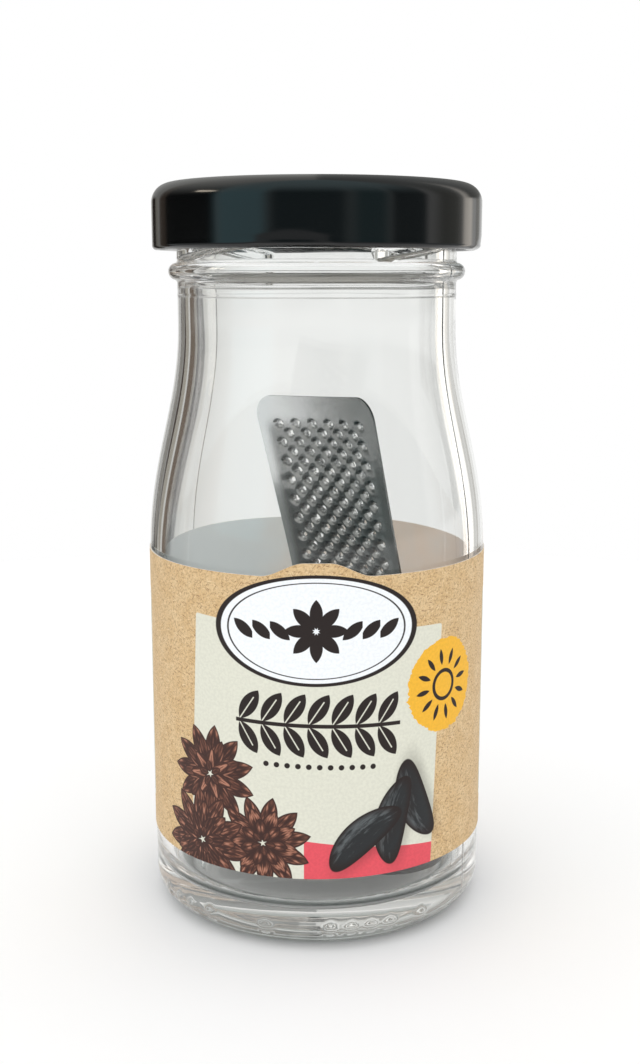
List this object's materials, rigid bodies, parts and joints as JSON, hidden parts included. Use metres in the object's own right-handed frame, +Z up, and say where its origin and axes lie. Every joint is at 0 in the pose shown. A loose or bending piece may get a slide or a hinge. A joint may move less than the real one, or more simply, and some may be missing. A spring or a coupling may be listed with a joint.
{
  "type": "spice jar with grater and tonka beans",
  "caption": "Small clear glass spice jar with a black twist-off lid and a paper label round its body, holding whole wrinkled tonka beans and a slim steel pocket grater.",
  "frame": {"origin": "on the jar's axis, in the plane that its standing ring rests on", "axes": "+Z up along the jar's axis, -Y out of the front of the label, +X to the right as seen from the front"},
  "size_m": [0.0538, 0.0539, 0.1142],
  "materials": {
    "jar": "clear flint glass, fire polished",
    "lid": "gloss black enamel on tinplate",
    "gasket": "pale sealing compound",
    "label": "printed kraft paper, uncoated",
    "grater": "rolled stainless strip, satin",
    "bean": "dried seed coat, wrinkled, faint sheen"
  },
  "bodies": {
    "jar": {"jar": "jar", "label": "label", "grater": "grater", "bean_1": "bean", "bean_2": "bean", "bean_3": "bean", "bean_4": "bean"},
    "seal": {"gasket": "gasket"},
    "lid": {"lid": "lid"}
  },
  "joints": [
    {"name": "lid_rise", "type": "slide", "parent": "jar", "child": "seal", "axis": [0, 0, 1], "range_m": [0, 0.003]},
    {"name": "lid_turn", "type": "hinge", "parent": "seal", "child": "lid", "pos_m": [0, 0, 0.109], "axis": [0, 0, 1], "range_deg": [0, 50]}
  ],
  "couplings": [
    {"joint": "lid_rise", "follows": "lid_turn", "m_per_rad": 0.0034}
  ]
}
